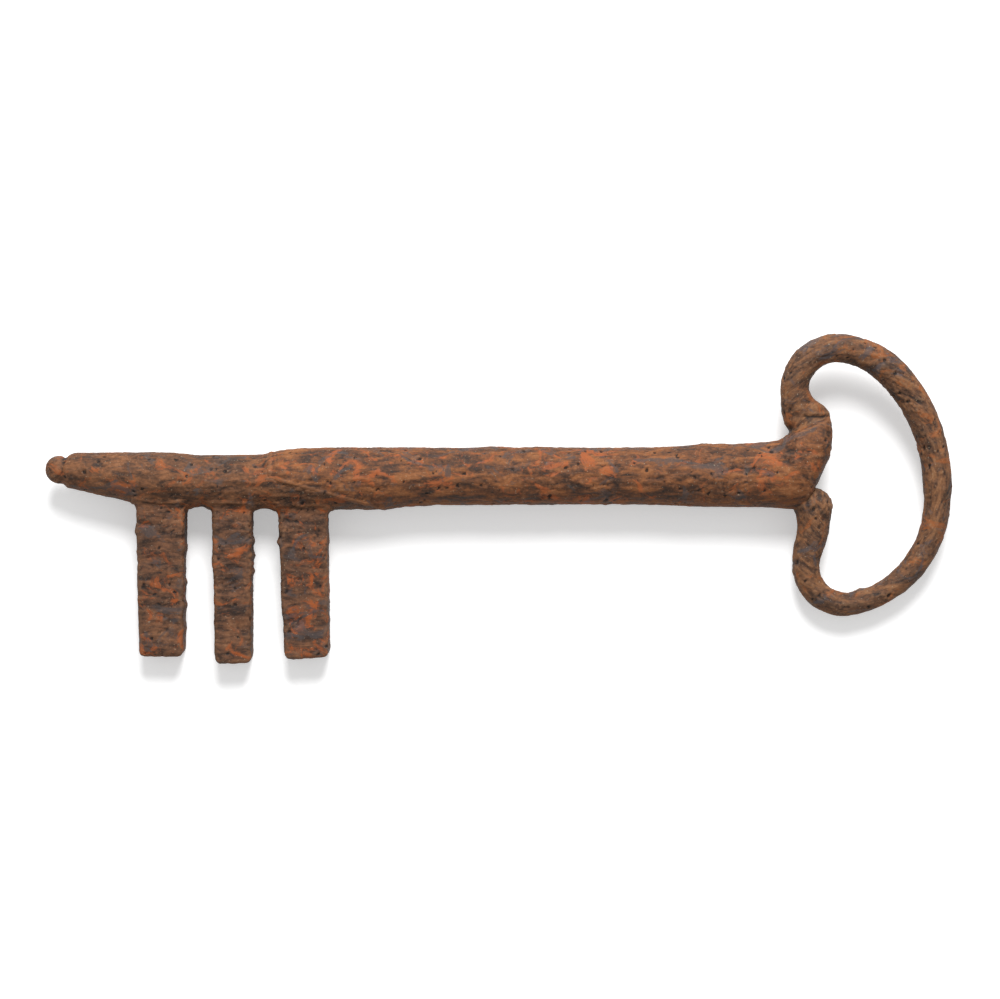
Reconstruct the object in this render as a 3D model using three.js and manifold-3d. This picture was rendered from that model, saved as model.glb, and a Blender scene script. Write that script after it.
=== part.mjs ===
// Hand-forged iron door key, in millimetres.
// Six pieces of bar iron, fire-welded together: a bit bar that tapers to the pin and ends in a small ball,
// three teeth tenoned into its underside, a round shank lapped over the bar's tail with a blunt scarf, and
// a kidney-shaped bow whose two ends sit on the shank's upset head.
// The key is drawn about the shank's axis: X runs from the tip to the bow, the teeth point to -Y, and the
// plane of the bit and the bow is Z = 0. At the end the whole key is laid on a table, which is Z = 0 there.
import * as THREE from "three";
import { mergeVertices } from "three/addons/utils/BufferGeometryUtils.js";
import Module from "manifold-3d";

const wasm = await Module();
wasm.setup();

// Gap left at every welded or seated face.
const SEAT_GAP = 0.3;

// Pin and bit bar, from the tip.
const BALL_RADIUS = 3.6;
const BALL_RISE = 1.7;
const PIN_NOSE_RADIUS = 4.1;
const PIN_RISE = 1.35;
const PIN_LENGTH = 23;
const BIT_BAR_RADIUS = 6.7;
const BIT_BAR_DROP = 1.1;

// Teeth, front to rear. Reach and slant are at the free end: the slant lifts its bow side.
const TOOTH_THICKNESS = 8;
const TOOTH_FILLET = 2;
const TOOTH_EDGE_RADIUS = 1.2;
const END_FLAT_INSET = 0.3;
const FLANK_SHARE = 0.95;
const TENON_LENGTH = 3;
const TENON_SHOULDER = 2.2;
const TENON_CHEEK = 1.5;
const FRONT_TOOTH = {
  width: 12.2, endWidth: 10.9, lean: -0.2, reach: 45, slant: 0, tipCorner: 1.4, bowCorner: 1.5,
};
const MIDDLE_TOOTH = {
  width: 9.8, endWidth: 9.2, lean: 0, reach: 46.9, slant: 0.4, tipCorner: 2.3, bowCorner: 1.5,
};
const REAR_TOOTH = {
  width: 12.2, endWidth: 11.2, lean: 0.8, reach: 45.6, slant: 1, tipCorner: 2.2, bowCorner: 1.5,
};
const FRONT_GAP = 6.8;
const REAR_GAP = 6.7;

// Scarf lap: the shank's blunt nose starts just before the rear tooth and lies on the bit bar's tail.
const LAP_LEAD = 2;
const LAP_LENGTH = 28.4;
const LAP_NOSE_DEPTH = 7;
const LAP_TAIL_THICKNESS = 1;
const LAP_SWELL = 0.6;
const LAP_DROP = 0.5;

// Shank and head.
const SHANK_LENGTH = 98.8;
const SHANK_RADIUS = 7.2;
const SHOULDER_SWELL = 1.3;
const HEAD_LENGTH = 12.8;
const HEAD_RISE = 9.2;

// Bow: a chain of tangent arcs in plan, all turning the same way, from the upper root to the lower root.
const BOW_REACH = 26.8;
const BOW_ROOT_BACK = 7.7;
const BOW_ROOT_RISE = 4.8;
const UPPER_SEAT_HEADING = 113;
const BOW_START_HEADING = 107;
const UPPER_ARM = { radius: 33, turn: 17 };
const UPPER_LOBE = { radius: 10.5, turn: 97 };
const UPPER_CORNER_TURN = 39.7;
const UPPER_BACK_TURN = 43.3;
const BACK_FLAT = 3.1;
const LOWER_BACK_TURN = 75.6;
const LOWER_LOBE = { radius: 10.1, turn: 104.4 };
const LOWER_ARM = { radius: 15, turn: 20 };
const LOWER_STEM = 4.5;
const BOW_END_BACK = 4.15;
const BOW_END_DROP = 0.3;
// Half thickness of the bar at the start of the bow and at the end of each stretch of it.
const BAR_HALF = {
  root: 3.6, arm: 3.5, crown: 3.6, shoulder: 3.95, back: 3.6, flat: 3.3, low: 2.8, foot: 3.35, knee: 4.1,
  end: 4.65,
};
// Swelling of the upper root on its inner side.
const HEEL_SPREAD = 4.5;
const HEEL_PEAK = 2.2;
const HEEL_LENGTH = 7.8;
// The bow's lower end is set against a bevel on the head's underside.
const LOWER_SEAT_HEADING = 140;
const LOWER_SEAT_DEPTH = 3;

// Fineness of the skins.
const SHAFT_SIDES = 28;
const SHAFT_STEP = 3.4;
const BAR_SIDES = 20;
const BAR_STEP = 3;
const BAR_STEP_TURN = 9;
const FILLET_RINGS = 4;
const END_RINGS = 4;

const rad = THREE.MathUtils.degToRad;

// Skins a list of rings, each with as many points, and closes both ends with a fan about its middle.
function loft(rings) {
  const sides = rings[0].length;
  const points = rings.flat();
  const faces = [];
  for (let r = 0; r + 1 < rings.length; r++) {
    for (let k = 0; k < sides; k++) {
      const a = r * sides + k;
      const b = r * sides + ((k + 1) % sides);
      faces.push(a, b, a + sides, b, b + sides, a + sides);
    }
  }
  const middle = (ring) => ring.reduce((sum, p) => sum.add(p), new THREE.Vector3()).divideScalar(ring.length);
  const first = points.push(middle(rings[0])) - 1;
  const last = points.push(middle(rings.at(-1))) - 1;
  const base = (rings.length - 1) * sides;
  for (let k = 0; k < sides; k++) {
    const next = (k + 1) % sides;
    faces.push(first, next, k, last, base + k, base + next);
  }
  const skin = new THREE.BufferGeometry().setFromPoints(points);
  skin.setIndex(faces);
  return skin;
}

// A closed geometry as a solid, and a solid as a geometry.
function solidOf(geometry) {
  const bare = geometry.clone();
  bare.deleteAttribute("normal");
  bare.deleteAttribute("uv");
  const merged = mergeVertices(bare, 1e-4);
  const made = new wasm.Manifold(
    new wasm.Mesh({
      numProp: 3,
      vertProperties: new Float32Array(merged.attributes.position.array),
      triVerts: new Uint32Array(merged.index.array),
    }),
  );
  if (made.volume() <= 0) throw new Error("a skin faces inwards");
  return made;
}

function geometryOf(solid) {
  const mesh = solid.getMesh();
  const made = new THREE.BufferGeometry();
  made.setAttribute("position", new THREE.BufferAttribute(mesh.vertProperties, 3));
  made.setIndex(new THREE.BufferAttribute(mesh.triVerts, 1));
  const faceted = made.toNonIndexed();
  faceted.computeVertexNormals();
  return faceted;
}

// A prism through the key's whole thickness, from an outline in plan.
function prism(outline, depth = 60) {
  const made = new THREE.ExtrudeGeometry(new THREE.Shape(outline), { depth, bevelEnabled: false });
  made.translate(0, 0, -depth / 2);
  return solidOf(made);
}

// Everything beyond a line in plan: the line runs through point, and heading is its normal.
function beyond(point, heading, reach = 80) {
  const out = new THREE.Vector2(Math.cos(heading), Math.sin(heading));
  const along = new THREE.Vector2(-out.y, out.x);
  const corner = (a, b) => point.clone().addScaledVector(out, a).addScaledVector(along, b);
  return prism([corner(0, -reach), corner(reach, -reach), corner(reach, reach), corner(0, reach)]);
}

// Places along the key that the pieces share.
const teeth = [];
let alongBit = PIN_LENGTH;
for (const [name, gap, sizes] of [
  ["bit_tooth_front", 0, FRONT_TOOTH],
  ["bit_tooth_middle", FRONT_GAP, MIDDLE_TOOTH],
  ["bit_tooth_rear", REAR_GAP, REAR_TOOTH],
]) {
  const start = alongBit + gap;
  alongBit = start + sizes.width;
  teeth.push({ name, ...sizes, start, middle: start + sizes.width / 2 });
}
const lapNose = teeth.at(-1).start - LAP_LEAD;
const lapTail = lapNose + LAP_LENGTH;
const headStart = lapTail + SHANK_LENGTH;
const headEnd = headStart + HEAD_LENGTH;
const shoulderRadius = SHANK_RADIUS + SHOULDER_SWELL;
const lapRadius = SHANK_RADIUS + LAP_SWELL;

// The bow's line in plan. Its two ends are set by the head, and its furthest point by BOW_REACH: the radii of
// the upper corner and of the two stretches of the back are what close the loop through all three.
const bowStart = new THREE.Vector2(headEnd - BOW_ROOT_BACK, SHANK_RADIUS + BOW_ROOT_RISE);
const bowEnd = new THREE.Vector2(headEnd - BOW_END_BACK, -SHANK_RADIUS - BOW_END_DROP);
const bowFurthest = headEnd + BOW_REACH;

// Step in plan made by an arc of unit radius that turns clockwise from one heading to another, in degrees.
function unitArc(from, to) {
  return new THREE.Vector2(Math.sin(rad(from)) - Math.sin(rad(to)), Math.cos(rad(to)) - Math.cos(rad(from)));
}

// A stretch of bar from a heading: an arc, turning clockwise where its turn is above 0, or a straight.
function stretchStep(heading, { radius, length, turn }, share = 1) {
  if (turn) return unitArc(heading, heading - turn * share).multiplyScalar(radius);
  return new THREE.Vector2(Math.cos(rad(heading)), Math.sin(rad(heading))).multiplyScalar(length * share);
}

function bowStretches() {
  const ahead = [
    { ...UPPER_ARM, half: BAR_HALF.arm },
    { ...UPPER_LOBE, half: BAR_HALF.crown },
  ];
  const closing = [
    { radius: 1, turn: UPPER_CORNER_TURN, half: BAR_HALF.shoulder },
    { radius: 1, turn: UPPER_BACK_TURN, half: BAR_HALF.back },
    { length: BACK_FLAT, turn: 0, half: BAR_HALF.flat },
    { radius: 1, turn: LOWER_BACK_TURN, half: BAR_HALF.low },
  ];
  const after = [
    { ...LOWER_LOBE, half: BAR_HALF.foot },
    { ...LOWER_ARM, half: (BAR_HALF.foot + BAR_HALF.knee) / 2 },
    { radius: -LOWER_ARM.radius, turn: -LOWER_ARM.turn, half: BAR_HALF.knee },
    { length: LOWER_STEM, turn: 0, half: BAR_HALF.end },
  ];
  let heading = BOW_START_HEADING;
  const [aheadSteps, closingSteps, afterSteps] = [ahead, closing, after].map((run) =>
    run.map((stretch) => {
      const step = stretchStep(heading, stretch);
      heading -= stretch.turn;
      return step;
    }),
  );
  const closingStart = aheadSteps.reduce((at, step) => at.add(step), bowStart.clone());
  const closingEnd = afterSteps.reduce((at, step) => at.sub(step), bowEnd.clone());
  const [corner, back, flat, low] = closingSteps;
  closing[3].radius = (closingEnd.x - bowFurthest) / low.x;
  const across = bowFurthest - closingStart.x;
  const down = closingEnd.y - closing[3].radius * low.y - flat.y - closingStart.y;
  const spread = corner.x * back.y - corner.y * back.x;
  closing[0].radius = (across * back.y - down * back.x) / spread;
  closing[1].radius = (corner.x * down - corner.y * across) / spread;
  return [...ahead, ...closing, ...after];
}

// Points along the bow's line: place, heading, distance from the upper root and half thickness of the bar.
function bowLine() {
  const line = [{ at: bowStart.clone(), heading: BOW_START_HEADING, run: 0, half: BAR_HALF.root }];
  for (const stretch of bowStretches()) {
    const from = line.at(-1);
    const whole = stretch.turn ? stretch.radius * rad(stretch.turn) : stretch.length;
    const steps = Math.ceil(Math.max(whole / BAR_STEP, Math.abs(stretch.turn) / BAR_STEP_TURN));
    for (let k = 1; k <= steps; k++) {
      const share = k / steps;
      line.push({
        at: from.at.clone().add(stretchStep(from.heading, stretch, share)),
        heading: from.heading - stretch.turn * share,
        run: from.run + whole * share,
        half: THREE.MathUtils.lerp(from.half, stretch.half, THREE.MathUtils.smoothstep(share, 0, 1)),
      });
    }
  }
  return line;
}

// The shaft's outline: top and foot are its edges in plan, half is its half thickness. The pin, the bar, the
// lap, the shank and the head are one run of forged surface, which the welds then divide.
const pinTop = PIN_RISE + PIN_NOSE_RADIUS;
const pinFoot = PIN_RISE - PIN_NOSE_RADIUS;
const bitTop = BIT_BAR_RADIUS - BIT_BAR_DROP;
const bitFoot = -BIT_BAR_RADIUS - BIT_BAR_DROP;
const lapTop = lapRadius - LAP_DROP;
const lapFoot = -lapRadius - LAP_DROP;
const headTop = SHANK_RADIUS + HEAD_RISE;
const SHAFT = [
  { x: BALL_RADIUS * 1.2, top: PIN_RISE + 3, foot: PIN_RISE - 3, half: 3 },
  { x: BALL_RADIUS * 1.6, top: pinTop, foot: pinFoot, half: PIN_NOSE_RADIUS },
  { x: BALL_RADIUS * 2.1, top: pinTop + 0.45, foot: pinFoot - 0.45, half: PIN_NOSE_RADIUS + 0.35 },
  { x: PIN_LENGTH, top: bitTop + 0.3, foot: bitFoot + 1.2, half: BIT_BAR_RADIUS - 0.5 },
  { x: teeth[0].middle, top: bitTop + 0.5, foot: bitFoot + 0.2, half: BIT_BAR_RADIUS },
  { x: teeth[1].start - 3, top: bitTop - 0.2, foot: bitFoot + 0.2, half: BIT_BAR_RADIUS },
  { x: lapNose - 2.4, top: bitTop - 0.2, foot: bitFoot - 0.3, half: BIT_BAR_RADIUS },
  { x: lapNose + 4.2, top: lapTop - 0.4, foot: lapFoot, half: lapRadius - 0.2 },
  { x: lapNose + LAP_LENGTH * 0.6, top: lapTop, foot: lapFoot, half: lapRadius },
  { x: lapTail - 0.6, top: lapTop, foot: lapFoot + 0.1, half: lapRadius },
  { x: lapTail + 5, top: lapTop, foot: -SHANK_RADIUS - 0.3, half: SHANK_RADIUS + 0.2 },
  { x: lapTail + 13.8, top: SHANK_RADIUS, foot: -SHANK_RADIUS, half: SHANK_RADIUS },
  { x: headStart - 40, top: SHANK_RADIUS, foot: -SHANK_RADIUS + 0.2, half: SHANK_RADIUS },
  { x: headStart - 20, top: SHANK_RADIUS + 0.6, foot: -SHANK_RADIUS - 0.4, half: SHANK_RADIUS + 0.3 },
  { x: headStart - 5, top: shoulderRadius, foot: -shoulderRadius + 0.7, half: lapRadius - 0.1 },
  { x: headStart, top: shoulderRadius + 0.5, foot: -shoulderRadius + 0.5, half: lapRadius },
  { x: headStart + 2, top: shoulderRadius + 2.2, foot: -shoulderRadius + 0.3, half: lapRadius },
  { x: headStart + 4, top: headTop - 2, foot: -shoulderRadius + 0.2, half: lapRadius - 0.1 },
  { x: headEnd - 6, top: headTop - 0.4, foot: -shoulderRadius + 0.6, half: lapRadius - 0.4 },
  { x: headEnd - 3.5, top: headTop, foot: -SHANK_RADIUS + 4.6, half: lapRadius - 1.1 },
  { x: headEnd - 2, top: headTop - 0.1, foot: -SHANK_RADIUS + 8.8, half: lapRadius - 1.9 },
  { x: headEnd - 0.7, top: headTop - 0.8, foot: -SHANK_RADIUS + 11.4, half: lapRadius - 3.2 },
  { x: headEnd, top: headTop - 2.6, foot: -SHANK_RADIUS + 14, half: lapRadius - 5.2 },
];

// One measure of the shaft at x: a cubic through the stations that never swings past them.
function shaftAt(x, key) {
  const last = SHAFT.length - 1;
  const k = THREE.MathUtils.clamp(SHAFT.findIndex((s) => s.x > x) - 1, 0, last - 1);
  const inside = x >= SHAFT[last].x ? last - 1 : k;
  const slope = (i) => (SHAFT[i + 1][key] - SHAFT[i][key]) / (SHAFT[i + 1].x - SHAFT[i].x);
  const tangent = (i) => {
    if (i === 0 || i === last) return slope(i === 0 ? 0 : last - 1);
    const before = slope(i - 1);
    const after = slope(i);
    return before * after <= 0 ? 0 : (2 * before * after) / (before + after);
  };
  const span = SHAFT[inside + 1].x - SHAFT[inside].x;
  const t = THREE.MathUtils.clamp((x - SHAFT[inside].x) / span, 0, 1);
  const bend = t * t * (3 - 2 * t);
  return (
    THREE.MathUtils.lerp(SHAFT[inside][key], SHAFT[inside + 1][key], bend) +
    span * t * (1 - t) * ((1 - t) * tangent(inside) - t * tangent(inside + 1))
  );
}

function shaftSection(x) {
  const top = shaftAt(x, "top");
  const foot = shaftAt(x, "foot");
  return { centre: (top + foot) / 2, height: (top - foot) / 2, half: shaftAt(x, "half") };
}

// Height of the shaft's underside at a place in plan.
function underside(x, z) {
  const { centre, height, half } = shaftSection(x);
  return centre - height * Math.sqrt(Math.max(0.02, 1 - (z / half) ** 2));
}

// The whole forged shaft as one solid, grown by a clearance for the pieces that seat on it.
function shaftSolid(grow = 0) {
  const places = [];
  for (let k = 0; k + 1 < SHAFT.length; k++) {
    const span = SHAFT[k + 1].x - SHAFT[k].x;
    const steps = Math.ceil(span / SHAFT_STEP);
    for (let i = 0; i < steps; i++) places.push(SHAFT[k].x + (span * i) / steps);
  }
  places.push(SHAFT.at(-1).x);
  const rings = places.map((x) => {
    const { centre, height, half } = shaftSection(x);
    return Array.from({ length: SHAFT_SIDES }, (_, k) => {
      const turn = (2 * Math.PI * (k + 0.5)) / SHAFT_SIDES;
      return new THREE.Vector3(x, centre + (height + grow) * Math.cos(turn), (half + grow) * Math.sin(turn));
    });
  });
  return solidOf(loft(rings));
}

// The bow as one bar: elliptical sections square to the line, with the heel spread on the inner side of its
// upper root and a domed lower end.
function bowSolid() {
  const line = bowLine();
  const before = line[0];
  const back = new THREE.Vector2(Math.cos(rad(before.heading)), Math.sin(rad(before.heading)));
  line.unshift({ ...before, at: before.at.clone().addScaledVector(back, -3), run: -3 });
  const end = line.at(-1);
  const ahead = new THREE.Vector2(Math.cos(rad(end.heading)), Math.sin(rad(end.heading)));
  for (let k = 1; k < END_RINGS; k++) {
    const dome = (Math.PI / 2) * (k / END_RINGS);
    const at = end.at.clone().addScaledVector(ahead, end.half * Math.sin(dome));
    line.push({ ...end, at, half: end.half * Math.cos(dome) });
  }
  const rings = line.map(({ at, heading, run, half }) => {
    const left = new THREE.Vector2(-Math.sin(rad(heading)), Math.cos(rad(heading)));
    const fade = THREE.MathUtils.clamp((run - HEEL_PEAK) / HEEL_LENGTH, -1, 1);
    const heel = HEEL_SPREAD * Math.cos((Math.PI / 2) * fade) ** 2;
    const reach = half + heel / 2;
    return Array.from({ length: BAR_SIDES }, (_, k) => {
      const turn = (2 * Math.PI * k) / BAR_SIDES;
      const place = at.clone().addScaledVector(left, reach * Math.cos(turn) - heel / 2);
      return new THREE.Vector3(place.x, place.y, half * Math.sin(turn));
    });
  });
  return solidOf(loft(rings));
}

// The scarf in plan, moved out by a clearance: down the shank's nose, along the slope, down the bar's tail.
function lapOutline(gap) {
  const noseFoot = lapTop - LAP_NOSE_DEPTH;
  const tailFoot = lapFoot + LAP_TAIL_THICKNESS;
  const slope = (tailFoot - noseFoot) / LAP_LENGTH;
  const drop = gap * Math.hypot(1, slope) + gap * slope;
  const far = 40;
  return [
    new THREE.Vector2(lapNose - gap, far),
    new THREE.Vector2(lapNose - gap, noseFoot - drop),
    new THREE.Vector2(lapTail - gap, tailFoot - drop),
    new THREE.Vector2(lapTail - gap, -far),
    new THREE.Vector2(headEnd + far, -far),
    new THREE.Vector2(headEnd + far, far),
  ];
}

// Outline of a tooth in section: a rectangle with rounded corners, each point with its outward normal and the
// side it belongs to, from the bow side round to the tip side.
function toothSection(width) {
  const long = width / 2 - TOOTH_EDGE_RADIUS;
  const wide = TOOTH_THICKNESS / 2 - TOOTH_EDGE_RADIUS;
  const points = [];
  const corner = (cx, cz, from) => {
    for (let k = 0; k <= 3; k++) {
      const turn = from + (Math.PI / 2) * (k / 3);
      const normal = new THREE.Vector2(Math.cos(turn), Math.sin(turn));
      points.push({ at: new THREE.Vector2(cx, cz).addScaledVector(normal, TOOTH_EDGE_RADIUS), normal });
    }
  };
  const face = (x, normal) => {
    for (const share of [-0.5, 0, 0.5]) {
      points.push({ at: new THREE.Vector2(x, share * wide * normal), normal: new THREE.Vector2(normal, 0) });
    }
  };
  corner(long, wide, 0);
  corner(-long, wide, Math.PI / 2);
  face(-width / 2, -1);
  corner(-long, -wide, Math.PI);
  corner(long, -wide, (3 * Math.PI) / 2);
  face(width / 2, 1);
  return points;
}

// A tooth: a fillet that flares on to the bar's underside, straight tapering sides, a rounded free end, a
// seat coped to the bar, and a tenon that stands up into the bar's mortise.
function toothSolid(tooth, barGrown) {
  const section = toothSection(tooth.width);
  const taper = tooth.endWidth / tooth.width;
  // The fillet flares no further across the bar than the bar's own rounded flank.
  const flank = Math.max(0, FLANK_SHARE * shaftAt(tooth.start, "half") - TOOTH_THICKNESS / 2);
  const place = (point, spread, share) => {
    const narrow = THREE.MathUtils.lerp(1, taper, share);
    const x = tooth.middle + tooth.lean * share + point.at.x * narrow + point.normal.x * spread;
    return [x, point.at.y + point.normal.y * Math.min(spread, flank)];
  };
  const rings = [];
  const seatRing = (lift) =>
    section.map((point) => {
      const [x, z] = place(point, TOOTH_FILLET, 0);
      return new THREE.Vector3(x, underside(x, z) + lift, z);
    });
  rings.push(seatRing(2));
  rings.push(seatRing(0));
  for (let k = 1; k <= FILLET_RINGS; k++) {
    const turn = (Math.PI / 2) * (k / FILLET_RINGS);
    rings.push(
      section.map((point) => {
        const [x, z] = place(point, TOOTH_FILLET * (1 - Math.sin(turn)), 0);
        return new THREE.Vector3(x, underside(x, z) - TOOTH_FILLET * (1 - Math.cos(turn)), z);
      }),
    );
  }
  const endMiddle = tooth.middle + tooth.lean;
  const endHeight = (x) => -tooth.reach + (tooth.slant * (x - endMiddle)) / tooth.endWidth;
  for (const share of [0.12, 0.4, 0.7]) {
    rings.push(
      section.map((point) => {
        const [x, z] = place(point, 0, share);
        const root = underside(x, z) - TOOTH_FILLET;
        return new THREE.Vector3(x, THREE.MathUtils.lerp(root, endHeight(x), share), z);
      }),
    );
  }
  for (let k = 0; k < END_RINGS; k++) {
    const turn = (Math.PI / 2) * (k / (END_RINGS - 1));
    rings.push(
      section.map((point) => {
        const corner = point.at.x > 0 ? tooth.bowCorner : tooth.tipCorner;
        const x = place(point, 0, 1)[0] - point.normal.x * corner * (1 - Math.cos(turn));
        const z = point.at.y - point.normal.y * TOOTH_EDGE_RADIUS * (1 - Math.cos(turn));
        const inside = THREE.MathUtils.clamp(tooth.endWidth / 2 - Math.abs(x - endMiddle), 0, corner);
        const cornerLift = corner - Math.sqrt(corner ** 2 - (corner - inside) ** 2);
        const edgeLift = TOOTH_EDGE_RADIUS * (1 - Math.sin(turn));
        const lift = point.normal.x ** 2 > 0.99 ? cornerLift : Math.max(cornerLift, edgeLift);
        return new THREE.Vector3(x, endHeight(x) + lift, z);
      }),
    );
  }
  const flat = tooth.endWidth / 2 - Math.max(tooth.bowCorner, tooth.tipCorner) - END_FLAT_INSET;
  rings.push(
    rings.at(-1).map(({ x, z }) => {
      const within = endMiddle + THREE.MathUtils.clamp(x - endMiddle, -flat, flat);
      return new THREE.Vector3(within, endHeight(within), z * (1 - END_FLAT_INSET / TOOTH_THICKNESS));
    }),
  );
  const body = solidOf(loft(rings)).subtract(barGrown);
  return body.add(tenonSolid(tooth, 0));
}

// The tenon, or the mortise that takes it when grown by a clearance.
function tenonSolid(tooth, grow) {
  const root = underside(tooth.middle, 0);
  const size = new THREE.Vector3(
    tooth.width - 2 * TENON_SHOULDER + 2 * grow,
    TENON_LENGTH + TOOTH_FILLET + grow,
    TOOTH_THICKNESS - 2 * TENON_CHEEK + 2 * grow,
  );
  const block = new THREE.BoxGeometry(size.x, size.y, size.z);
  block.translate(tooth.middle, root - TOOTH_FILLET + size.y / 2, 0);
  return solidOf(block);
}

const shaft = shaftSolid();
const shaftGrown = shaftSolid(SEAT_GAP);
const bowBar = bowSolid();

function bitBarGeometry() {
  const ball = new THREE.SphereGeometry(BALL_RADIUS, 20, 14);
  ball.translate(BALL_RADIUS, BALL_RISE, 0);
  let bar = shaft.subtract(prism(lapOutline(SEAT_GAP))).add(solidOf(ball));
  for (const tooth of teeth) bar = bar.subtract(tenonSolid(tooth, SEAT_GAP));
  return geometryOf(bar);
}

// The bow's seats on the head, moved towards the head by a clearance.
function upperSeat(gap) {
  const heading = rad(UPPER_SEAT_HEADING);
  const away = new THREE.Vector2(Math.cos(heading), Math.sin(heading));
  return beyond(bowStart.clone().addScaledVector(away, -gap), heading);
}

function lowerSeat(gap) {
  const heading = rad(LOWER_SEAT_HEADING);
  const towards = new THREE.Vector2(Math.cos(heading), Math.sin(heading));
  const point = bowEnd.clone().addScaledVector(towards, LOWER_SEAT_DEPTH + gap);
  return beyond(point, heading + Math.PI);
}

// The head keeps what lies between its two seats, which meet at the notch.
function shankGeometry() {
  const body = shaft.intersect(prism(lapOutline(0)));
  const lowerCorner = beyond(new THREE.Vector2(headStart + 1, 0), 0).intersect(lowerSeat(SEAT_GAP));
  const aboveHead = beyond(new THREE.Vector2(headStart + 1, 0), 0).intersect(upperSeat(SEAT_GAP));
  return geometryOf(body.subtract(lowerCorner).subtract(aboveHead));
}

// The bow keeps its bar up to the seats.
function bowGeometry() {
  const split = new THREE.Vector2(headEnd - BOW_ROOT_BACK, 0);
  const nearHead = beyond(new THREE.Vector2(headEnd + 2, 0), Math.PI);
  const belowUpperSeat = beyond(split, Math.PI / 2).intersect(nearHead).subtract(upperSeat(0));
  const aboveLowerSeat = beyond(split, -Math.PI / 2).intersect(nearHead).subtract(lowerSeat(0));
  return geometryOf(bowBar.subtract(belowUpperSeat).subtract(aboveLowerSeat));
}

const finish = (color, roughness) => new THREE.MeshStandardMaterial({ color, roughness, metalness: 0.35 });
const rustedBar = finish(0x6a4227, 0.85);
const rustedShank = finish(0x734626, 0.85);
const rustedBow = finish(0x704930, 0.82);
const rustedTooth = finish(0x674229, 0.88);

function piece(name, geometry, material) {
  const mesh = new THREE.Mesh(geometry, material);
  mesh.name = name;
  return mesh;
}

const bit = new THREE.Group();
bit.add(piece("bit_bar", bitBarGeometry(), rustedBar));
for (const tooth of teeth) {
  const geometry = geometryOf(toothSolid(tooth, shaftGrown));
  geometry.translate(-tooth.middle, 0, 0);
  const mesh = piece(tooth.name, geometry, rustedTooth);
  mesh.position.x = tooth.middle;
  bit.add(mesh);
}
const handle = new THREE.Group();
handle.add(piece("shank", shankGeometry(), rustedShank));
handle.add(piece("bow", bowGeometry(), rustedBow));

// Laid on a table, the key rolls about its shank until the longest tooth touches too.
function lowest(object) {
  return new THREE.Box3().setFromObject(object, true).min.z;
}

function settle(whole, tips, rounds) {
  let low = 0;
  let high = rad(20);
  for (let k = 0; k < 30; k++) {
    whole.rotation.x = (low + high) / 2;
    whole.updateMatrixWorld(true);
    if (Math.min(...tips.map(lowest)) > Math.min(...rounds.map(lowest))) low = whole.rotation.x;
    else high = whole.rotation.x;
  }
}

const key = new THREE.Group();
key.add(bit, handle);
settle(key, bit.children.slice(1), [bit.children[0], ...handle.children]);
const box = new THREE.Box3().setFromObject(key, true);
key.position.set(-(box.min.x + box.max.x) / 2, -(box.min.y + box.max.y) / 2, -box.min.z);

const doorKey = new THREE.Group();
doorKey.add(key);

export default doorKey;
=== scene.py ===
"""Looks of the forged iron door key: weathered skins over the CAD pieces, rust material, camera and light.

Every skin starts from its CAD piece's own surface, so it stays where the piece is. It is cut into fine
faces, its seams are run together as a fire weld does, and it is worked with hammered flats, flakes, pits
and the bumps and hollows that the photographed key shows. Lengths are in mm unless a name says otherwise.
"""

import bmesh
import bpy
import numpy as np
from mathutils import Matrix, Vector
from mathutils.bvhtree import BVHTree


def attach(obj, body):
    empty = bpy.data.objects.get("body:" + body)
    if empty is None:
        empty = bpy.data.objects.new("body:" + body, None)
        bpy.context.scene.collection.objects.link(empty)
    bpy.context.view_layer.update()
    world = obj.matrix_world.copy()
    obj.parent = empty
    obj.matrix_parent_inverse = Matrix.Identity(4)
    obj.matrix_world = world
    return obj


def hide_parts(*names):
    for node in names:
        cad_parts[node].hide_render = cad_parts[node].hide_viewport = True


MM = 0.001
VOXEL = 0.3  # fineness of the skins

# Photograph to row frame: the key lies on the table and the camera looks straight down.
IMAGE_WIDTH = 1000
IMAGE_CENTRE = (500.0, 499.5)
MM_PER_PIXEL = 0.25
KEY_CENTRE = (498.5, 499.3)
AXIS_HEIGHT = 8.5  # of the shank's axis above the table

# Noise.
NOISE_GAIN = 1.6  # brings gradient noise to about -1 to 1
OCTAVE_STEP = 2.07
OCTAVE_SHIFT = 7.3
OCTAVE_SEEDS = 11
CELL_MARGIN = 0.1  # share of a cell that its point keeps from the cell's walls

# Fire welds: how far a seam's corner reaches, how much of that is filled, and how soon a surface that
# faces the other piece counts as facing it fully.
WELD_REACH = 3.0
WELD_FILL = 0.25
WELD_FACING = 1.3
WELD_BLUR_ROUNDS = 3

# Rounds of smoothing: facets and voxel steps, welds, and the blur that tells hollows from rims.
FACET_ROUNDS = 8
WELD_ROUNDS = 2
HOLLOW_ROUNDS = 10
HOLLOW_SHARE = 0.6
RUST_THICKNESS = 0.04

# Height or depth of each kind of relief.
SWELL_HEIGHT = 0.17
LUMP_HEIGHT = 0.26
FLAKE_HEIGHT = 0.10
CRACK_DEPTH = 0.13
PIT_DEPTH = 0.34
BLISTER_HEIGHT = 0.15
GRIT_HEIGHT = 0.07
STREAK_HEIGHT = 0.09

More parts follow.
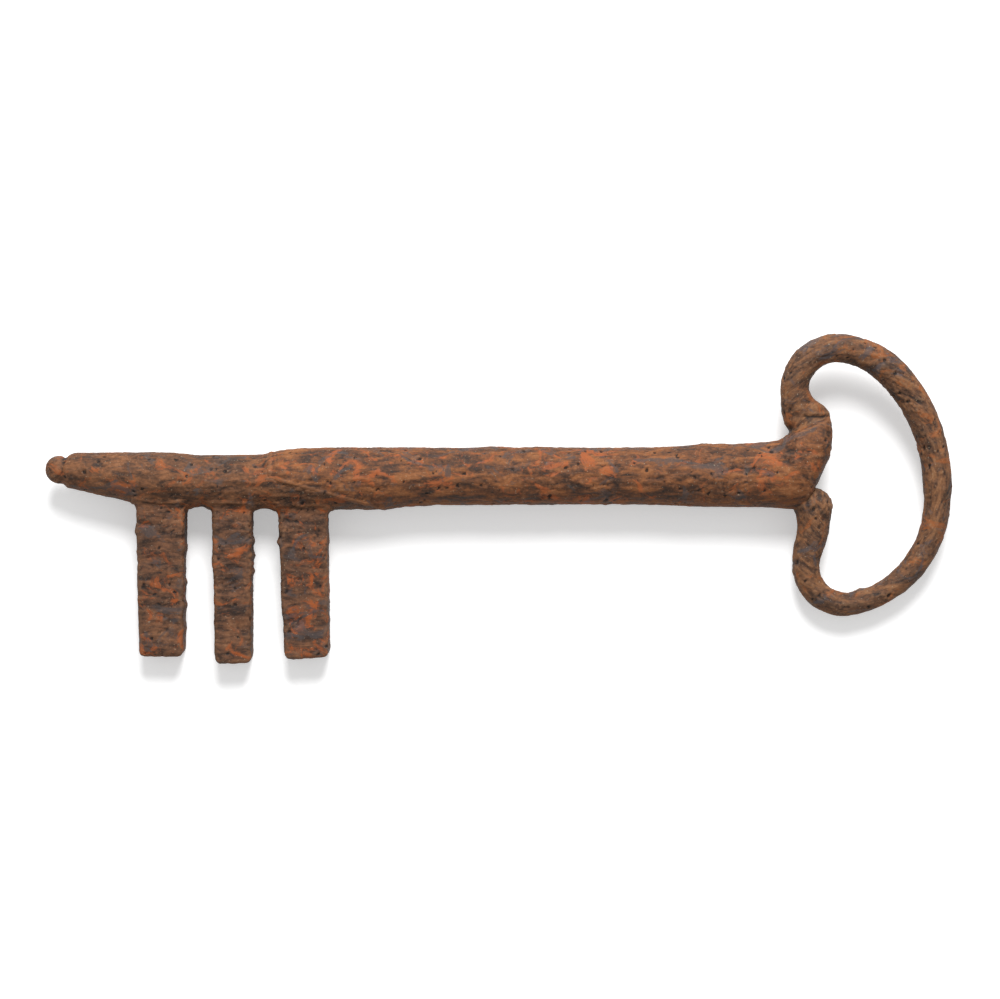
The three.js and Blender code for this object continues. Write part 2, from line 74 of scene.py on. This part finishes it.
# Size of each kind of relief, and the share of its length that counts along the grain.
SWELL_SIZE = 17.0
WORN_SIZE = 11.0
LUMP_BEND_SIZE = 9.0
LUMP_SIZE = 3.6
LUMP_BEND = 1.7
LUMP_ALONG = 0.33
FLAKE_SIZE = 2.6
FLAKE_BEND_SIZE = 1.6
FLAKE_BEND = 0.5
FLAKE_ALONG = 0.5
PIT_SIZE = 1.9
PIT_BEND_SIZE = 0.8
PIT_BEND = 0.2
GRIT_SIZE = 0.95
STREAK_SIZE = 1.25
STREAK_ALONG = 0.16
RAGGED_SIZE = 1.1
RAGGED_SHARE = 0.5

# One cell in so many is a pit or a blister, or has one of the flakes' levels.
FLAKE_LEVELS = 7
PIT_EVERY = 5
BLISTER_EVERY = 7
BLISTER_NUMBER = 3


def at(px, py):
    """Place in the row frame of a point of the photograph."""
    return (px - KEY_CENTRE[0]) * MM_PER_PIXEL, (KEY_CENTRE[1] - py) * MM_PER_PIXEL


# Noise


def lattice(seed):
    rng = np.random.RandomState(seed)
    table = rng.permutation(256)
    return np.concatenate([table, table, table])


def corner_hash(table, x, y, z):
    return table[table[table[x & 255] + (y & 255)] + (z & 255)]


def gradient_noise(p, seed):
    """Smooth noise from about -1 to 1 with one swell to a unit of p."""
    table = lattice(seed)
    rng = np.random.RandomState(seed + 1)
    slopes = rng.normal(size=(256, 3))
    slopes /= np.linalg.norm(slopes, axis=1)[:, None]
    base = np.floor(p).astype(np.int64)
    f = p - base
    ease = f * f * f * (f * (f * 6 - 15) + 10)
    total = np.zeros(len(p))
    for dx in (0, 1):
        for dy in (0, 1):
            for dz in (0, 1):
                h = corner_hash(table, base[:, 0] + dx, base[:, 1] + dy, base[:, 2] + dz)
                away = f - (dx, dy, dz)
                share = np.prod(np.where((dx, dy, dz), ease, 1 - ease), axis=1)
                total += share * np.einsum("ij,ij->i", slopes[h], away)
    return total * NOISE_GAIN


def fractal(p, octaves, seed, gain=0.5):
    """Sum of finer and weaker layers of gradient noise."""
    total, strength, norm = np.zeros(len(p)), 1.0, 0.0
    for k in range(octaves):
        layer = gradient_noise(p * OCTAVE_STEP**k + OCTAVE_SHIFT * k, seed + OCTAVE_SEEDS * k)
        total += strength * layer
        norm += strength
        strength *= gain
    return total / norm


def cells(p, seed):
    """Distances to the nearest and second nearest of points scattered one to a unit cell.

    The nearest point's number comes with them.
    """
    table = lattice(seed)
    rng = np.random.RandomState(seed + 2)
    spots = rng.uniform(CELL_MARGIN, 1 - CELL_MARGIN, size=(256, 3))
    base = np.floor(p).astype(np.int64)
    first = np.full(len(p), 9.0)
    second = np.full(len(p), 9.0)
    number = np.zeros(len(p), dtype=np.int64)
    for dx in (-1, 0, 1):
        for dy in (-1, 0, 1):
            for dz in (-1, 0, 1):
                cell = base + (dx, dy, dz)
                h = corner_hash(table, cell[:, 0], cell[:, 1], cell[:, 2])
                far = np.linalg.norm(cell + spots[h] - p, axis=1)
                nearer = far < first
                second = np.where(nearer, first, np.minimum(second, far))
                number = np.where(nearer, h, number)
                first = np.where(nearer, far, first)
    return first, second, number


def rise(value, low, high):
    """Smooth step from 0 at low to 1 at high."""
    t = np.clip((value - low) / (high - low), 0, 1)
    return t * t * (3 - 2 * t)


# Skins


def cad_tree(node):
    """Search tree over a CAD piece's faces."""
    mesh = node.data
    places = np.empty(len(mesh.vertices) * 3)
    mesh.vertices.foreach_get("co", places)
    places = places.reshape(-1, 3) / MM
    mesh.calc_loop_triangles()
    faces = np.empty(len(mesh.loop_triangles) * 3, dtype=np.int32)
    mesh.loop_triangles.foreach_get("vertices", faces)
    return BVHTree.FromPolygons(places.tolist(), faces.reshape(-1, 3).tolist())


def keep_largest(mesh):
    """Leaves only the largest closed surface, because a remesh can leave single voxels beside it."""
    work = bmesh.new()
    work.from_mesh(mesh)
    groups, seen = [], set()
    for start in work.verts:
        if start in seen:
            continue
        seen.add(start)
        group, front = [start], [start]
        while front:
            corner = front.pop()
            for edge in corner.link_edges:
                other = edge.other_vert(corner)
                if other not in seen:
                    seen.add(other)
                    group.append(other)
                    front.append(other)
        groups.append(group)
    groups.sort(key=len)
    for group in groups[:-1]:
        bmesh.ops.delete(work, geom=group, context="VERTS")
    work.to_mesh(mesh)
    work.free()


def fine_copy(node, name):
    """A fine, evenly faced copy of a CAD piece's surface."""
    mesh = node.data.copy()
    work = bmesh.new()
    work.from_mesh(mesh)
    bmesh.ops.remove_doubles(work, verts=work.verts, dist=1e-6)
    work.to_mesh(mesh)
    work.free()
    coarse = bpy.data.objects.new(name + "_coarse", mesh)
    bpy.context.scene.collection.objects.link(coarse)
    remesh = coarse.modifiers.new("fine", "REMESH")
    remesh.mode = "VOXEL"
    remesh.voxel_size = VOXEL * MM
    remesh.adaptivity = 0
    shown = coarse.evaluated_get(bpy.context.evaluated_depsgraph_get())
    fine = bpy.data.meshes.new_from_object(shown)
    fine.materials.clear()
    keep_largest(fine)
    bpy.data.objects.remove(coarse)
    skin = bpy.data.objects.new(name, fine)
    bpy.context.scene.collection.objects.link(skin)
    return skin


class Skin:
    """A piece's fine mesh as arrays."""

    def __init__(self, node, name):
        self.object = fine_copy(node, name)
        mesh = self.object.data
        flat = np.empty(len(mesh.vertices) * 3)
        mesh.vertices.foreach_get("co", flat)
        self.p = flat.reshape(-1, 3) / MM
        edges = np.empty(len(mesh.edges) * 2, dtype=np.int64)
        mesh.edges.foreach_get("vertices", edges)
        self.edges = edges.reshape(-1, 2)
        self.degree = np.bincount(self.edges.ravel(), minlength=len(self.p))
        corners = np.empty(len(mesh.loops), dtype=np.int64)
        mesh.loops.foreach_get("vertex_index", corners)
        self.quads = corners.reshape(-1, 4)

    def spread(self, values):
        """Mean over each vertex's neighbours."""
        out = np.empty_like(values)
        a, b = self.edges[:, 0], self.edges[:, 1]
        columns = values.reshape(len(values), -1)
        result = out.reshape(len(values), -1)
        for k in range(columns.shape[1]):
            total = np.bincount(a, columns[b, k], len(values))
            total = total + np.bincount(b, columns[a, k], len(values))
            result[:, k] = total / self.degree
        return out

    def smooth(self, rounds, shrink=0.5, grow=-0.52):
        """Takes the facets and voxel steps off without drawing the form in."""
        for _ in range(rounds):
            for share in (shrink, grow):
                self.p = self.p + share * (self.spread(self.p) - self.p)

    def normals(self):
        q = self.p[self.quads]
        face = np.cross(q[:, 2] - q[:, 0], q[:, 3] - q[:, 1])
        total = np.zeros_like(self.p)
        for k in range(4):
            for axis in range(3):
                total[:, axis] += np.bincount(self.quads[:, k], face[:, axis], len(self.p))
        return total / np.maximum(np.linalg.norm(total, axis=1), 1e-12)[:, None]

    def hollows(self):
        """How far each point lies below the surface around it."""
        flat = self.p
        for _ in range(HOLLOW_ROUNDS):
            flat = (1 - HOLLOW_SHARE) * flat + HOLLOW_SHARE * self.spread(flat)
        return np.einsum("ij,ij->i", flat - self.p, self.normals())

    def write(self, hollow, grain):
        """Puts the mesh back, on the table, with the layers that its material reads."""
        mesh = self.object.data
        self.p[:, 2] = np.maximum(self.p[:, 2], 0.0)
        mesh.vertices.foreach_set("co", (self.p * MM).ravel())
        layer = mesh.attributes.new("hollow", "FLOAT", "POINT")
        layer.data.foreach_set("value", hollow.astype(np.float32))
        layer = mesh.attributes.new("grain", "FLOAT_VECTOR", "POINT")
        layer.data.foreach_set("vector", grain.astype(np.float32).ravel())
        mesh.polygons.foreach_set("use_smooth", np.ones(len(mesh.polygons), dtype=bool))
        mesh.update()


def run_together(skin, trees):
    """Fills the corner towards the pieces that a piece is welded to, and closes the seam between them."""
    normal = skin.normals()
    push = np.zeros(len(skin.p))
    for tree in trees:
        for i, place in enumerate(skin.p):
            hit, _, _, distance = tree.find_nearest(Vector(place), WELD_REACH)
            if hit is None:
                continue
            towards = np.array(hit) - place
            facing = float(normal[i] @ towards) / max(distance, 1e-6)
            if facing > 0:
                fill = WELD_FILL * WELD_REACH * (1 - distance / WELD_REACH) ** 2
                push[i] = max(push[i], fill * min(1.0, WELD_FACING * facing))
    for _ in range(WELD_BLUR_ROUNDS):
        push = 0.5 * push + 0.5 * skin.spread(push)
    skin.p = skin.p + normal * push[:, None]


# The bar's own direction: the bow's grain runs round its middle, and the other pieces' along X.
BOW_MIDDLE = np.array(at(862, 480))
BOW_ARC_RADIUS = 24.0
BOW_ACROSS = 1.2


def grain_of(name, p):
    """Coordinates that follow the bar a piece was forged from: along it, across it in plan, and up."""
    if name != "bow":
        return p.copy()
    out = p[:, :2] - BOW_MIDDLE
    angle = np.arctan2(out[:, 1], out[:, 0])
    reach = np.hypot(out[:, 0], out[:, 1])
    return np.stack([angle * BOW_ARC_RADIUS, reach * BOW_ACROSS, p[:, 2]], axis=1)


# Bumps and hollows that the photograph shows: place in it, half sizes along X and Y, height,
# and which way the surface faces there.
UP, RIGHT, LEFT, FAR, NEAR = (0, 0, 1), (1, 0, 0), (-1, 0, 0), (0, 1, 0), (0, -1, 0)
MARKS = {
    "bit_bar": [
        (253, 466, 4.6, 1.2, -0.5, UP),
        (237, 467, 0.8, 1.2, 0.35, UP),
        (256, 481, 2.5, 1.3, 0.3, UP),
        (288, 484, 2.6, 0.9, -0.5, UP),
        (276, 488, 2.0, 0.8, 0.15, UP),
        (104, 462, 2.0, 2.0, -0.25, UP),
        (80, 463, 3.0, 3.0, 0.2, UP),
        (66, 458, 0.8, 2.0, -0.45, FAR),
        (195, 468, 2.5, 1.5, -0.25, UP),
        (160, 492, 6.0, 1.5, -0.2, UP),
    ],
    "bit_tooth_front": [
        (187, 606, 1.0, 1.1, 1.0, RIGHT),
        (187, 630, 1.0, 1.4, 0.8, RIGHT),
        (186, 582, 1.0, 0.8, 0.35, RIGHT),
        (187, 548, 1.0, 1.2, 0.4, RIGHT),
        (136, 531, 1.0, 1.2, 0.45, LEFT),
        (150, 524, 4.0, 0.7, -0.3, UP),
        (150, 548, 3.0, 1.6, -0.2, UP),
        (165, 580, 2.6, 1.8, -0.2, UP),
        (146, 640, 2.0, 3.0, -0.25, UP),
    ],
    "bit_tooth_middle": [
        (254, 541, 1.0, 0.8, 0.6, RIGHT),
        (255, 555, 1.0, 0.9, 0.9, RIGHT),
        (256, 564, 1.0, 0.8, 0.8, RIGHT),
        (255, 572, 1.0, 0.8, 0.8, RIGHT),
        (212, 560, 1.0, 2.0, 0.3, LEFT),
        (238, 553, 1.8, 1.6, 0.35, UP),
        (234, 583, 1.4, 2.2, -0.45, UP),
        (240, 631, 2.4, 2.2, -0.35, UP),
        (222, 648, 2.0, 1.5, 0.2, UP),
    ],
    "bit_tooth_rear": [
        (278, 542, 1.0, 1.0, 0.7, LEFT),
        (281, 597, 1.0, 4.0, 0.25, LEFT),
        (292, 521, 3.0, 0.7, -0.3, UP),
        (318, 536, 1.2, 1.8, -0.4, UP),
        (312, 553, 1.8, 2.2, 0.3, UP),
        (298, 595, 1.2, 3.0, 0.25, UP),
        (300, 622, 4.0, 1.4, -0.3, UP),
    ],
    "shank": [
        (276, 462, 2.0, 3.0, 0.35, UP),
        (284, 472, 1.6, 1.5, 0.3, UP),
        (300, 478, 3.5, 1.0, 0.2, UP),
        (366, 490, 2.6, 2.6, -0.3, UP),
        (345, 487, 3.0, 1.3, 0.25, UP),
        (443, 460, 1.6, 1.4, -0.25, UP),
        (470, 472, 3.0, 2.0, -0.3, UP),
        (497, 449, 3.5, 3.0, 0.35, FAR),
        (540, 449, 4.0, 3.0, 0.25, FAR),
        (706, 447, 3.0, 2.5, 0.3, FAR),
        (590, 476, 3.0, 1.5, -0.3, UP),
        (700, 462, 4.0, 1.4, -0.3, UP),
        (740, 470, 3.2, 2.2, -0.35, UP),
        (783, 463, 1.4, 1.2, -0.3, UP),
        (828, 452, 3.0, 3.0, 0.2, UP),
        (806, 452, 6.0, 0.7, -0.25, UP),
        (788, 433, 1.2, 1.2, -0.7, FAR),
        (820, 485, 1.5, 1.5, -0.4, UP),
        (365, 509, 12.0, 3.0, 0.2, NEAR),
    ],
    "bow": [
        (788, 431, 1.2, 1.4, -0.7, LEFT),
        (818, 417, 5.0, 0.6, -0.35, UP),
        (827, 420, 1.6, 1.6, 0.3, RIGHT),
        (806, 406, 0.9, 4.0, -0.3, UP),
        (908, 401, 2.2, 4.0, -0.35, UP),
        (872, 361, 3.0, 1.6, -0.3, UP),
        (930, 425, 1.6, 2.2, -0.3, UP),
        (934, 455, 1.5, 3.0, -0.25, UP),
        (918, 503, 1.6, 3.0, -0.25, UP),
        (850, 592, 5.0, 1.0, 0.4, FAR),
        (861, 592, 2.5, 1.0, 0.3, FAR),
        (910, 555, 4.0, 1.6, 0.25, UP),
        (826, 510, 1.5, 2.5, 0.3, RIGHT),
        (806, 509, 4.0, 1.0, -0.2, UP),
    ],
}


def bend(plain, size, octaves, seed):
    """Noise as a column, to shift the places of another noise by."""
    return fractal(plain / size, octaves, seed)[:, None]


def relief(name, p, normal, grain):
    """Height of the worked and rusted surface above the plain one."""
    swell = fractal(p / SWELL_SIZE, octaves=2, seed=3)
    long_grain = grain * (LUMP_ALONG, 1.0, 1.0)
    lump_bend = LUMP_BEND * bend(p, LUMP_BEND_SIZE, octaves=1, seed=5)
    lump = fractal(long_grain / LUMP_SIZE + lump_bend, octaves=3, seed=17)
    flake_place = grain * (FLAKE_ALONG, 1.0, 1.0) / FLAKE_SIZE
    flake_bend = FLAKE_BEND * bend(p, FLAKE_BEND_SIZE, octaves=2, seed=29)
    near, next_near, number = cells(flake_place + flake_bend, seed=41)
    crack = 1 - rise(next_near - near, 0.02, 0.16)
    level = (number % FLAKE_LEVELS) / (FLAKE_LEVELS - 1.0) - 0.5
    pit_bend = PIT_BEND * bend(p, PIT_BEND_SIZE, octaves=1, seed=59)
    pit_near, _, pit_number = cells(p / PIT_SIZE + pit_bend, seed=67)
    pit = (pit_number % PIT_EVERY == 0) * (1 - rise(pit_near, 0.12, 0.36))
    blister = (pit_number % BLISTER_EVERY == BLISTER_NUMBER) * (1 - rise(pit_near, 0.05, 0.42))
    grit = fractal(p / GRIT_SIZE, octaves=2, seed=83)
    streak = fractal(grain * (STREAK_ALONG, 1.0, 1.0) / STREAK_SIZE, octaves=2, seed=97)
    worn = rise(fractal(p / WORN_SIZE, octaves=2, seed=111), -0.25, 0.35)
    height = (
        SWELL_HEIGHT * swell
        + LUMP_HEIGHT * lump
        + FLAKE_HEIGHT * level * worn
        - CRACK_DEPTH * crack * worn
        - PIT_DEPTH * pit
        + BLISTER_HEIGHT * blister
        + GRIT_HEIGHT * grit
        + STREAK_HEIGHT * streak
    )
    ragged = 1 + RAGGED_SHARE * fractal(p / RAGGED_SIZE, octaves=2, seed=131)
    for px, py, half_x, half_y, tall, facing in MARKS[name]:
        x, y = at(px, py)
        near_mark = np.exp(-(((p[:, 0] - x) / half_x) ** 2) - ((p[:, 1] - y) / half_y) ** 2)
        faces = np.clip(normal @ np.array(facing, dtype=float), 0, 1)
        height = height + tall * near_mark * np.sqrt(faces) * ragged
    return height


# Build the skins

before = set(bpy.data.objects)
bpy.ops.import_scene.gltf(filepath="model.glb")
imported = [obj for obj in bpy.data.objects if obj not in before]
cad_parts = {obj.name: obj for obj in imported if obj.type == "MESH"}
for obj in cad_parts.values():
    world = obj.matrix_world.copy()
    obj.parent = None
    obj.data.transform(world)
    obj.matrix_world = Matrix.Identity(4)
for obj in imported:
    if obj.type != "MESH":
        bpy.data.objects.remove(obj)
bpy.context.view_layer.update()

# Each CAD piece's skin, material slot and the pieces it is welded to.
PIECES = {
    "bit_bar": (
        "skin_bit_bar",
        "rusted_bit_bar",
        ["shank", "bit_tooth_front", "bit_tooth_middle", "bit_tooth_rear"],
    ),
    "bit_tooth_front": ("skin_tooth_front", "rusted_teeth", ["bit_bar"]),
    "bit_tooth_middle": ("skin_tooth_middle", "rusted_teeth", ["bit_bar"]),
    "bit_tooth_rear": ("skin_tooth_rear", "rusted_teeth", ["bit_bar"]),
    "shank": ("skin_shank", "rusted_shank", ["bit_bar", "bow"]),
    "bow": ("skin_bow", "rusted_bow", ["shank"]),
}

trees = {name: cad_tree(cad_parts[name]) for name in PIECES}
skins = {}
for node_name, (skin_name, _, welded) in PIECES.items():
    skin = Skin(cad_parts[node_name], skin_name)
    skin.smooth(FACET_ROUNDS)
    run_together(skin, [trees[other] for other in welded])
    skin.smooth(WELD_ROUNDS)
    normal = skin.normals()
    grain = grain_of(node_name, skin.p)
    height = relief(node_name, skin.p, normal, grain)
    skin.p = skin.p + normal * (RUST_THICKNESS + height)[:, None]
    skin.smooth(1, 0.3, 0.0)
    skin.write(skin.hollows(), grain)
    skins[node_name] = skin


# Rust


def linear(code):
    """Colour for a shader from its usual six-figure code."""
    parts = [int(code[k : k + 2], 16) / 255 for k in (0, 2, 4)]
    curve = [c / 12.92 if c <= 0.04045 else ((c + 0.055) / 1.055) ** 2.4 for c in parts]
    return tuple(curve) + (1.0,)


class Nodes:
    """Short ways to write a material's nodes."""

    def __init__(self, material):
        material.use_nodes = True
        self.tree = material.node_tree
        self.tree.nodes.clear()

    def add(self, kind, **settings):
        node = self.tree.nodes.new(kind)
        for key, value in settings.items():
            setattr(node, key, value)
        return node

    def put(self, value, socket):
        """Links an output to a socket, or sets the socket to a plain value."""
        if isinstance(value, bpy.types.NodeSocket):
            self.tree.links.new(value, socket)
        else:
            socket.default_value = value

    def math(self, operation, a, b=0.0, clamp=False):
        node = self.add("ShaderNodeMath", operation=operation, use_clamp=clamp)
        self.put(a, node.inputs[0])
        self.put(b, node.inputs[1])
        return node.outputs[0]

    def attribute(self, name):
        return self.add("ShaderNodeAttribute", attribute_name=name)

    def noise(self, vector, scale, detail=4.0, rough=0.6, twist=0.0):
        node = self.add("ShaderNodeTexNoise")
        self.put(vector, node.inputs["Vector"])
        node.inputs["Scale"].default_value = scale
        node.inputs["Detail"].default_value = detail
        node.inputs["Roughness"].default_value = rough
        node.inputs["Distortion"].default_value = twist
        return node.outputs["Fac"]

    def stretch(self, vector, scale, move=(0, 0, 0)):
        node = self.add("ShaderNodeMapping")
        self.put(vector, node.inputs["Vector"])
        node.inputs["Scale"].default_value = scale
        node.inputs["Location"].default_value = move
        return node.outputs[0]

    def ramp(self, value, stops):
        """Colour ramp. A plain number in the stops is a grey."""
        node = self.add("ShaderNodeValToRGB")
        self.put(value, node.inputs[0])
        ramp = node.color_ramp
        while len(ramp.elements) > 1:
            ramp.elements.remove(ramp.elements[0])
        for k, (place, colour) in enumerate(stops):
            stop = ramp.elements[0] if k == 0 else ramp.elements.new(place)
            stop.position = place
            stop.color = colour if not isinstance(colour, float) else (colour, colour, colour, 1)
        return node.outputs[0]

    def mask(self, value, low, high, strength=1.0):
        """Smooth step from 0 at low to a strength at high."""
        node = self.add("ShaderNodeMapRange", interpolation_type="SMOOTHSTEP")
        self.put(value, node.inputs["Value"])
        node.inputs["From Min"].default_value = low
        node.inputs["From Max"].default_value = high
        return self.math("MULTIPLY", node.outputs["Result"], strength)

    def cover(self, share, under, code):
        """Lays a colour, by its six-figure code, over another one."""
        node = self.add("ShaderNodeMix", data_type="RGBA", blend_type="MIX")
        self.put(share, node.inputs["Factor"])
        self.put(under, node.inputs["A"])
        self.put(linear(code), node.inputs["B"])
        return node.outputs["Result"]


# Near black for the hollows: painted shade, together with the dark rust that gathers there.
HOLLOW_SHADE_AND_RUST_COLOUR = "120c09"
DUST_COLOUR = "a8977f"
TONE_STOPS = ((0.36, "black"), (0.44, "dark"), (0.5, "brown"), (0.57, "light"), (0.66, "tan"))
ROUGHNESS_STOPS = [(0.35, 0.62), (0.65, 0.85)]
SPECULAR_LEVEL = 0.35
BUMP_STRENGTH = 0.6
BUMP_DISTANCE = 0.00025  # metres


def rust(name, tones):
    """Rusted iron: fibres along the grain, orange and grey patches, hollows darkened with painted shade
    over dark rust, worn rims and dust.
    """
    material = bpy.data.materials.new(name)
    n = Nodes(material)
    metres = n.add("ShaderNodeTexCoord").outputs["Object"]
    place = n.stretch(metres, (1 / MM, 1 / MM, 1 / MM))
    grain = n.attribute("grain").outputs["Vector"]
    fibres = n.noise(n.stretch(grain, (0.3, 1.0, 1.0)), 0.62, 7, 0.68, 0.5)
    blots = n.noise(n.stretch(grain, (0.6, 1.0, 1.0), (3, 1, 7)), 0.2, 6, 0.62, 0.8)
    speck = n.noise(place, 1.5, 3, 0.7)
    tone = n.math("ADD", n.math("MULTIPLY", fibres, 0.55), n.math("MULTIPLY", blots, 0.3))
    tone = n.math("ADD", tone, n.math("MULTIPLY", speck, 0.15))
    colour = n.ramp(tone, [(stop, linear(tones[key])) for stop, key in TONE_STOPS])

    ember_noise = n.noise(n.stretch(place, (0.8, 1.0, 1.0), (11, 4, 2)), 0.17, 6, 0.7, 1.2)
    colour = n.cover(n.mask(ember_noise, 0.53, 0.64, 0.75), colour, tones["ember"])
    scale_noise = n.noise(n.stretch(place, (0.7, 1.0, 1.0), (5, 9, 1)), 0.14, 5, 0.65, 1.5)
    colour = n.cover(n.mask(scale_noise, 0.54, 0.63, 0.7), colour, tones["scale"])
    hollow = n.attribute("hollow").outputs["Fac"]
    # Painted shade: the deeper a point lies below the surface around it, the nearer its colour goes to near
    # black, partly for the dark rust in the hollows.
    colour = n.cover(n.mask(hollow, 0.01, 0.12, 0.85), colour, HOLLOW_SHADE_AND_RUST_COLOUR)
    colour = n.cover(n.mask(hollow, -0.02, -0.1, 0.3), colour, tones["tan"])
    colour = n.cover(n.mask(n.noise(place, 2.2, 2, 0.5), 0.66, 0.74, 0.5), colour, DUST_COLOUR)

    surface = n.add("ShaderNodeBsdfPrincipled")
    n.put(colour, surface.inputs["Base Color"])
    surface.inputs["Metallic"].default_value = 0.0
    surface.inputs["Specular IOR Level"].default_value = SPECULAR_LEVEL
    n.put(n.ramp(tone, ROUGHNESS_STOPS), surface.inputs["Roughness"])
    bump = n.add("ShaderNodeBump")
    bump.inputs["Strength"].default_value = BUMP_STRENGTH
    bump.inputs["Distance"].default_value = BUMP_DISTANCE
    crust = n.math("MULTIPLY", n.noise(place, 2.6, 4, 0.75), 0.7)
    n.put(n.math("ADD", n.math("MULTIPLY", fibres, 0.8), crust), bump.inputs["Height"])
    n.put(bump.outputs[0], surface.inputs["Normal"])
    n.put(surface.outputs[0], n.add("ShaderNodeOutputMaterial").inputs["Surface"])
    return material


# Colours of each material slot, from the photograph.
TONE_NAMES = ("black", "dark", "brown", "light", "tan", "ember", "scale")
TONES = {
    "rusted_bit_bar": ("1f1613", "3c2719", "5f3e28", "7d5234", "96694a", "9a5226", "4a4341"),
    "rusted_teeth": ("1f1613", "3b271b", "5a3c2a", "754e35", "8b6548", "a2511f", "453f3f"),
    "rusted_shank": ("1f1613", "41291a", "663f26", "865430", "9c6b48", "a4562a", "46403f"),
    "rusted_bow": ("211815", "3f2a1d", "61412c", "805738", "98704f", "935327", "4c4648"),
}

materials = {name: rust(name, dict(zip(TONE_NAMES, codes))) for name, codes in TONES.items()}
for node_name, (_, slot_name, _) in PIECES.items():
    piece = skins[node_name].object
    piece.data.materials.append(materials[slot_name])
    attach(piece, "root")
    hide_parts(node_name)

# Table, light and camera. Places and sizes are in metres here.

TABLE_HALF = 2.0
TABLE_WHITE = (0.9, 0.9, 0.9, 1)
TABLE_LIFT = 0.35
TABLE_UNSEEN = (0.35, 0.35, 0.35, 1)
WINDOW_PLACE = (0.05, 0.75, 0.75)
WINDOW_SIZE = 0.5
WINDOW_WATTS = 14
ROOM_STRENGTH = 0.45
LENS_MM = 100
SENSOR_MM = 36


def table_top():
    """Pale table that the camera and reflections see white, with the key's shadow."""
    mesh = bpy.data.meshes.new("table_top")
    half = TABLE_HALF
    corners = [(-half, -half, 0), (half, -half, 0), (half, half, 0), (-half, half, 0)]
    mesh.from_pydata(corners, [], [(0, 1, 2, 3)])
    top = bpy.data.objects.new("table_top", mesh)
    bpy.context.scene.collection.objects.link(top)
    material = bpy.data.materials.new("white_table")
    n = Nodes(material)
    rays = n.add("ShaderNodeLightPath")
    seen = n.math("ADD", rays.outputs["Is Camera Ray"], rays.outputs["Is Glossy Ray"], clamp=True)
    seen = n.math("ADD", seen, rays.outputs["Is Transmission Ray"], clamp=True)
    white = n.add("ShaderNodeBsdfDiffuse")
    white.inputs["Color"].default_value = TABLE_WHITE
    lift = n.add("ShaderNodeEmission")
    lift.inputs["Color"].default_value = (1, 1, 1, 1)
    lift.inputs["Strength"].default_value = TABLE_LIFT
    bright = n.add("ShaderNodeAddShader")
    n.put(white.outputs[0], bright.inputs[0])
    n.put(lift.outputs[0], bright.inputs[1])
    dull = n.add("ShaderNodeBsdfDiffuse")
    dull.inputs["Color"].default_value = TABLE_UNSEEN
    choose = n.add("ShaderNodeMixShader")
    n.put(seen, choose.inputs[0])
    n.put(dull.outputs[0], choose.inputs[1])
    n.put(bright.outputs[0], choose.inputs[2])
    n.put(choose.outputs[0], n.add("ShaderNodeOutputMaterial").inputs["Surface"])
    mesh.materials.append(material)


def soft_lamp(name, place, aim, size, watts):
    lamp = bpy.data.lights.new(name, "AREA")
    lamp.shape = "DISK"
    lamp.size = size
    lamp.energy = watts
    holder = bpy.data.objects.new(name, lamp)
    holder.location = place
    holder.rotation_euler = (Vector(aim) - Vector(place)).to_track_quat("-Z", "Y").to_euler()
    bpy.context.scene.collection.objects.link(holder)


def room():
    """Plain white light from all round."""
    world = bpy.data.worlds.new("room")
    bpy.context.scene.world = world
    world.use_nodes = True
    background = world.node_tree.nodes["Background"]
    background.inputs["Color"].default_value = (1, 1, 1, 1)
    background.inputs["Strength"].default_value = ROOM_STRENGTH


def camera():
    """Looks straight down from where the shank's axis fills the frame as in the photograph."""
    data = bpy.data.cameras.new("camera")
    data.lens = LENS_MM
    data.sensor_width = SENSOR_MM
    width = IMAGE_WIDTH * MM_PER_PIXEL * MM
    height = width * data.lens / data.sensor_width
    holder = bpy.data.objects.new("camera", data)
    x, y = at(*IMAGE_CENTRE)
    holder.location = (x * MM, y * MM, height + AXIS_HEIGHT * MM)
    bpy.context.scene.collection.objects.link(holder)
    bpy.context.scene.camera = holder


table_top()
soft_lamp("window", WINDOW_PLACE, (0, 0, 0), WINDOW_SIZE, WINDOW_WATTS)
room()
camera()
bpy.context.scene.view_settings.view_transform = "Standard"
